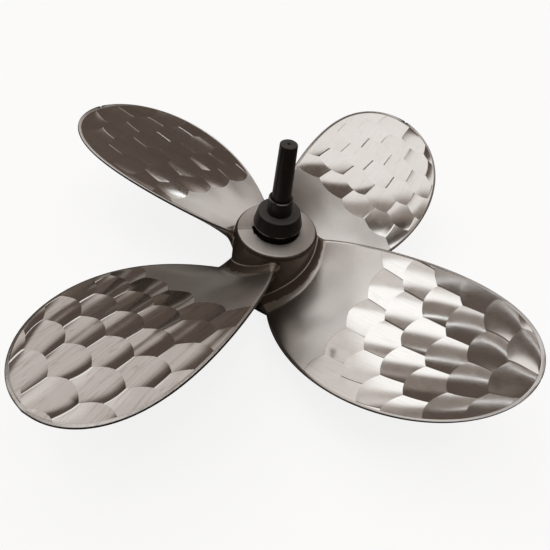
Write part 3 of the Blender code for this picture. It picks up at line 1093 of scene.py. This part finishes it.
def blade_material(effects):
    material, tree, shader = new_material("ground_casting", (0.76, 0.735, 0.71), 1.0, 0.2)
    radius, along, gap = parts_of(tree, attribute(tree, "blade_place"))
    inner = parts_of(tree, attribute(tree, "inner_starts"))
    outer = parts_of(tree, attribute(tree, "outer_starts"))
    grained, scooped, bulge = parts_of(tree, attribute(tree, "finish"))
    field = scale_field(radius, along, inner + outer, bulge)
    tiled = field["tiled"]
    inside = soft_step(gap, *RIM_BAND)
    tone = chance(tree, field["column"] * 3.7 + 1.3, field["scale"] * 5.1 + inner[0] * 97.0)
    spots = (radius, along, field["column"])
    streak_place = vector_of(tree, *[a * b for a, b in zip(spots, STREAKS)])
    streaks = noise(tree, streak_place, 1.0, 3.0, 0.55, 0.9)
    grain_place = vector_of(tree, *[a * b for a, b in zip(spots, GRAIN)])
    grain = line_at(noise(tree, grain_place, 1.0, 2.0, 0.5, 0.5), 0.5, 0.0, GRAIN_WIDTH) * tiled
    place = seen_at(tree)
    polish = effects["polish"]
    waves = group_value(tree, polish, "Waves", place)
    clouds = group_value(tree, polish, "Clouds", place) - 0.5
    scratches = group_value(tree, polish, "Scratches", place)
    x, y, z = parts_of(tree, place)
    lift = root_of(x * x + y * y) - hub_radius_at(z)
    seam_highlight = line_at(lift, *SEAM_HIGHLIGHT)
    dark_band_width = DARK_BAND_WIDTH + 0.02 * along + 0.012 * clouds
    dark_band = 1.0 - soft_step(lift, dark_band_width, dark_band_width + DARK_BAND_FADE)
    shown = between(FIRST_COLUMN_SHOWN, 1.0, above(field["column"], 0.5))
    shown = scooped * inside * shown
    normal = scooped_normal(tree, field, tone, shown, place)
    height = streaks * tiled * inside * between(*STREAK_DEPTHS, grained)
    root = waves * WAVE_DEPTH + (clouds + 0.5) * CLOUD_DEPTH
    height = height + (1.0 - tiled) * root
    height = height - RIM_ROUNDING[0] * (1.0 - within(gap / RIM_ROUNDING[1]))
    height = height + scratches * SCRATCH_DEPTH
    feed(tree, shader.inputs["Normal"], bump(tree, height, normal))
    streaks = streaks - 0.5
    tone = tone - 0.5
    rough = between(ROOT_ROUGHNESS, GROUND_ROUGHNESS, tiled) + 0.06 * tone * tiled
    rough = rough + 0.10 * clouds + 0.05 * streaks * tiled * grained
    rough = between(between(RIM_ROUGHNESS, rough, inside), DARK_BAND_ROUGHNESS, dark_band)
    rough = between(rough, SEAM_ROUGHNESS, seam_highlight)
    feed(tree, shader.inputs["Roughness"], within(rough))
    rim_line = line_at(gap, *RIM_LINE)
    fibre = (0.10 + 0.26 * grained) * streaks * tiled - (0.05 + 0.75 * grained) * grain
    # painted highlight: a light line where the blade meets the hub
    shade = 0.55 + 0.5 * clouds + 0.2 * tone + fibre - 0.9 * rim_line + seam_highlight
    colour = tint(tree, within(shade), *GROUND_METAL)
    # painted shade: the blade's edge darkened as if in shadow
    colour = tint(tree, 1.0 - soft_step(gap, *EDGE_SHADE_WIDTHS), colour, EDGE_PAINTED_SHADE)
    # a darker band on the blade along the hub
    colour = tint(tree, most(dark_band - seam_highlight, 0.0), colour, DARK_BAND_BY_HUB)
    feed(tree, shader.inputs["Base Color"], colour)
    return material


def hub_material(effects):
    material, tree, shader = new_material("turned_casting", (0.70, 0.67, 0.64), 1.0, 0.3)
    place = seen_at(tree)
    x, y, z = parts_of(tree, place)
    clouds = group_value(tree, effects["polish"], "Clouds", place) - 0.5
    scratches = group_value(tree, effects["polish"], "Scratches", place)
    rings = group_value(tree, effects["turning"], "Rings", place, Fineness=HUB_RINGS)
    face = soft_step(z, *HUB_FACE_HEIGHTS)
    line_x = math.cos(SCRIBED_LINE_ANGLE)
    line_y = math.sin(SCRIBED_LINE_ANGLE)
    out_along = x * line_x + y * line_y
    off_line = y * line_x - x * line_y
    outward = soft_step(out_along, *SCRIBED_LINE_STARTS) * face
    scribed = line_at(off_line, *SCRIBED_LINE) * outward
    # darker in a band before the scribed line and on one side of the aft face
    before = (1.0 - soft_step(off_line, 0.0, 0.0006)) * soft_step(off_line, -0.080, -0.012)
    face_darkening = 0.42 * before * outward + 0.40 * soft_step(0.5 * x - 0.87 * y, 0.01, 0.07) * face
    height = (clouds + 0.5) * (1.0 - face) * HUB_CLOUD_DEPTH
    height = height + rings * HUB_RING_DEPTH + scratches * HUB_SCRATCH_DEPTH
    feed(tree, shader.inputs["Normal"], bump(tree, height))
    rough = between(0.38 + 0.14 * clouds, 0.55 + 0.06 * clouds, face)
    feed(tree, shader.inputs["Roughness"], within(rough + 0.08 * (rings - 0.5)))
    # painted light: the hub's side lighter towards +x, in painted shade towards -x
    painted_lit_half = soft_step(x, *HUB_PAINTED_LIGHT_EDGE)
    shade = between(0.06 * painted_lit_half + 0.4 * clouds, 0.92 + 0.3 * clouds, face)
    shade = shade + 0.25 * (rings - 0.5) - face_darkening + 0.5 * scribed
    side = tint(tree, painted_lit_half, *HUB_SIDE_SHADED_AND_LIT)
    # painted shade: a darker band on the side just below the aft corner
    corner = soft_step(z, *HUB_CORNER_HEIGHTS) * (1.0 - face)
    side = tint(tree, corner, side, HUB_CORNER_SHADE)
    colour = tint(tree, within(shade), side, HUB_FACE)
    feed(tree, shader.inputs["Base Color"], colour)
    return material


def steel_material(name, finish, effects, edges=(), top=None):
    """Turned steel, with its rubbed edges painted bright as a highlight, and painted light on its
    faces that look up.
    """
    dark, light, metallic, roughness = finish
    material, tree, shader = new_material(name, dark, metallic, roughness)
    shader.inputs["Specular IOR Level"].default_value = STEEL_SHINE
    place = seen_at(tree)
    clouds = group_value(tree, effects["polish"], "Clouds", place) - 0.5
    scratches = group_value(tree, effects["polish"], "Scratches", place)
    rings = group_value(tree, effects["turning"], "Rings", place, Fineness=STEEL_RINGS)
    feed(tree, shader.inputs["Normal"], bump(tree, (rings + scratches) * STEEL_MARK_DEPTH))
    rings = rings - 0.5
    rough = roughness + 0.2 * clouds + 0.1 * rings
    feed(tree, shader.inputs["Roughness"], within(rough))
    shade = 0.5 + 1.2 * clouds + 0.3 * rings
    colour = tint(tree, within(shade), dark, light)
    # painted highlight: the listed edges lighter, as rubbed metal catching light
    for edge in edges:
        sizes = dict(zip(("Radius", "Height", "Width"), edge))
        wear_and_highlight = group_value(tree, effects["wear_and_highlight"], "Wear And Highlight", place, **sizes)
        colour = tint(tree, wear_and_highlight, colour, RUBBED_AND_HIGHLIT_METAL)
    # painted light: faces that look up are given a lighter colour
    if top:
        _, _, up = parts_of(tree, seen_at(tree, "Normal"))
        colour = tint(tree, soft_step(up, *UP_FACING_PAINTED_LIGHT), colour, top)
    feed(tree, shader.inputs["Base Color"], colour)
    return material


# -------- stage


def box_of_light(azimuth, height, centre, half_width, low, high, soft):
    """1 in a patch of the surroundings, fading over soft degrees at its sides."""
    off = size_of(work_out(azimuth.tree, "WRAP", azimuth - centre, 180.0, -180.0))
    side = 1.0 - soft_step(off, half_width - soft, half_width + soft)
    foot = soft_step(height, low - soft, low + soft)
    head = 1.0 - soft_step(height, high - soft, high + soft)
    return side * foot * head


def show_by_ray(tree, mirrored, seen, kind):
    """Ends the tree: metal mirrors one shader, and the camera itself sees the other."""
    choose = tree.nodes.new("ShaderNodeMixShader")
    path = tree.nodes.new("ShaderNodeLightPath")
    out = tree.nodes.new(kind)
    tree.links.new(path.outputs["Is Camera Ray"], choose.inputs[0])
    tree.links.new(mirrored, choose.inputs[1])
    tree.links.new(seen, choose.inputs[2])
    tree.links.new(choose.outputs[0], out.inputs["Surface"])


def build_surroundings():
    world = bpy.data.worlds.new("studio")
    bpy.context.scene.world = world
    world.use_nodes = True
    tree = world.node_tree
    tree.nodes.clear()
    x, y, z = parts_of(tree, seen_at(tree, "Generated"))
    azimuth = angle_of(y, x) * DEGREES
    height = work_out(tree, "ARCSINE", z) * DEGREES
    light = OPEN_LIGHT + OVERHEAD_LIGHT * soft_step(height, *OVERHEAD_FROM)
    for *place, level in PANELS:
        light = between(light, level, box_of_light(azimuth, height, *place))
    green, blue = [strength * light ** power for strength, power in (GREEN, BLUE)]
    sky = tree.nodes.new("ShaderNodeBackground")
    feed(tree, sky.inputs["Color"], vector_of(tree, light, green, blue))
    white = tree.nodes.new("ShaderNodeBackground")
    white.inputs["Color"].default_value = WHITE
    show_by_ray(tree, sky.outputs[0], white.outputs[0], "ShaderNodeOutputWorld")


def glowing_paper(tree, colour, glow, strength):
    """A dull surface of this colour that gives light of its own."""
    dull = tree.nodes.new("ShaderNodeBsdfDiffuse")
    dull.inputs["Color"].default_value = colour
    lamp = tree.nodes.new("ShaderNodeEmission")
    lamp.inputs["Color"].default_value = glow
    feed(tree, lamp.inputs["Strength"], strength)
    both = tree.nodes.new("ShaderNodeAddShader")
    tree.links.new(dull.outputs[0], both.inputs[0])
    tree.links.new(lamp.outputs[0], both.inputs[1])
    return both.outputs[0]


def floor_material():
    """Pale paper: bright to the eye, and dim in the polished metal above it."""
    material = bpy.data.materials.new("pale_floor")
    material.use_nodes = True
    tree = material.node_tree
    tree.nodes.clear()
    x, y, _ = parts_of(tree, seen_at(tree))
    far = root_of(x * x + y * y)
    strength = 0.0
    for azimuth, half_width, start, full, level in FLOOR_PATCHES:
        off = size_of(angle_of(y, x) * DEGREES - azimuth)
        side = soft_step(off, half_width - PATCH_SOFTNESS, half_width + PATCH_SOFTNESS)
        strength = strength + (1.0 - side) * soft_step(far, start, full) * level
    mirrored = glowing_paper(tree, FLOOR_DIM, FLOOR_LIGHT, strength)
    seen = glowing_paper(tree, FLOOR_SEEN, WHITE, FLOOR_GLOW)
    show_by_ray(tree, mirrored, seen, "ShaderNodeOutputMaterial")
    return material


def build_floor():
    form = bmesh.new()
    bmesh.ops.create_grid(form, x_segments=4, y_segments=4, size=FLOOR_HALF_SIZE)
    floor = add_piece("studio_floor", mesh_of("studio_floor", form), floor_material())


def build_camera():
    lens = bpy.data.cameras.new("camera")
    lens.sensor_width = CAMERA_SENSOR
    lens.lens = CAMERA_LENS
    lens.shift_x, lens.shift_y = CAMERA_SHIFT
    lens.clip_start, lens.clip_end = CAMERA_CLIP
    camera = add_piece("camera", lens)
    camera.location = CAMERA_PLACE
    camera.rotation_euler = [math.radians(angle) for angle in CAMERA_TURN]
    bpy.context.scene.camera = camera
    bpy.context.scene.view_settings.view_transform = "Standard"


# -------- assembly


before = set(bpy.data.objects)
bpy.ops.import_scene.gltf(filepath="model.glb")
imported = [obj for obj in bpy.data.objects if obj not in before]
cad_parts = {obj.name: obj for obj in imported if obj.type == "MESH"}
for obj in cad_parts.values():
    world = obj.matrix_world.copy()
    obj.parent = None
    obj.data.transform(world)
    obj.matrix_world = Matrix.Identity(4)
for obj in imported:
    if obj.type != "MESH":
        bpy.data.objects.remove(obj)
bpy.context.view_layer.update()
build_camera()
build_surroundings()
build_floor()
effects = {"polish": polish_group(), "turning": turning_group(), "wear_and_highlight": wear_and_highlight_group()}
blades = build_blades(blade_material(effects))
hub = build_hub(hub_material(effects))
for piece in (*blades, hub):
    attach(piece, "root")
    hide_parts("propeller_casting")
black = steel_material("blackened_steel_turned", TURNED_BLACK, effects, RUBBED_AND_HIGHLIT_EDGES, BLACK_TOP_PAINTED_LIGHT)
plug_black = steel_material("blackened_steel_dull", DULL_BLACK, effects)
plain = steel_material("plain_steel_turned", TURNED_PLAIN, effects)
for piece, node in build_mandrel(black, plug_black, plain):
    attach(piece, "root")
    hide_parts(node)
bpy.context.view_layer.update()
